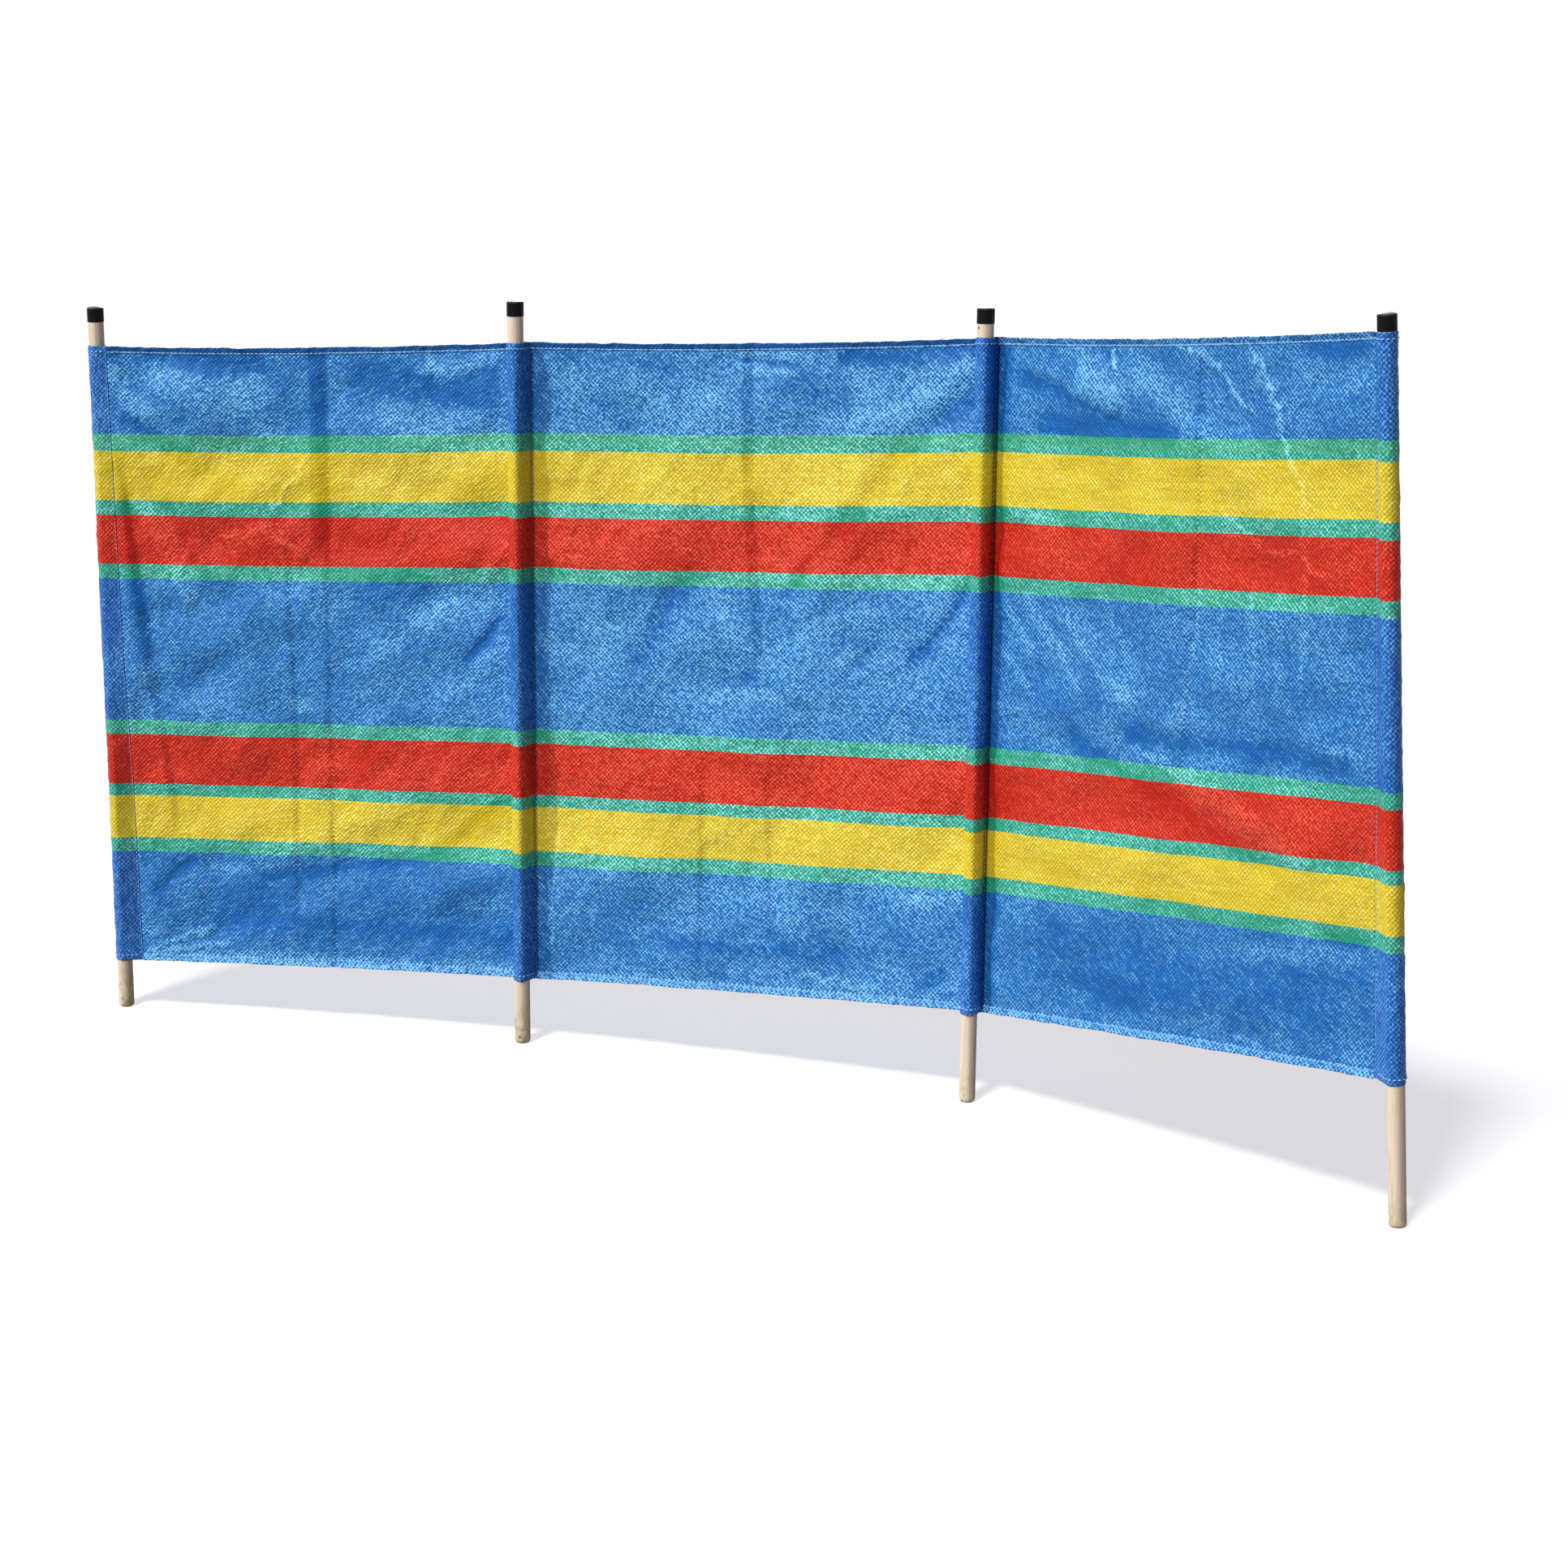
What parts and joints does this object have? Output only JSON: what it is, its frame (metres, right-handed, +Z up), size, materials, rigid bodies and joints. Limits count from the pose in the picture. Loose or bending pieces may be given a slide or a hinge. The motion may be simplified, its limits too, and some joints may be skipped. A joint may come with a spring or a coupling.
{
  "type": "beach windbreak",
  "caption": "Striped cloth screen on wooden poles, with a sewn pocket round each pole, capped pole tops and hemmed edges; it stands in sand or turf and shelters a spot from wind.",
  "frame": {"origin": "middle of the first pole's foot, at ground level", "axes": "+X along the windbreak to the last pole, +Y to the back, away from the side that the inner pockets stand proud of, +Z up"},
  "size_m": [1.9617, 0.2848, 1.1031],
  "materials": {
    "pole_wood": "sanded pale softwood, unvarnished",
    "black_cap": "satin black moulded plastic",
    "striped_cloth": "glossy woven polyethylene in blue, green, yellow and red bands",
    "hem_cloth": "doubled and stitched blue woven polyethylene"
  },
  "bodies": {
    "root": {"pole_1": "pole_wood", "cap_1": "black_cap", "sleeve_1": "striped_cloth", "pole_2": "pole_wood", "cap_2": "black_cap", "sleeve_2": "striped_cloth", "pole_3": "pole_wood", "cap_3": "black_cap", "sleeve_3": "striped_cloth", "pole_4": "pole_wood", "cap_4": "black_cap", "sleeve_4": "striped_cloth", "panel_1": "striped_cloth", "top_hem_1": "hem_cloth", "bottom_hem_1": "hem_cloth", "panel_2": "striped_cloth", "top_hem_2": "hem_cloth", "bottom_hem_2": "hem_cloth", "panel_3": "striped_cloth", "top_hem_3": "hem_cloth", "bottom_hem_3": "hem_cloth"}
  },
  "joints": []
}
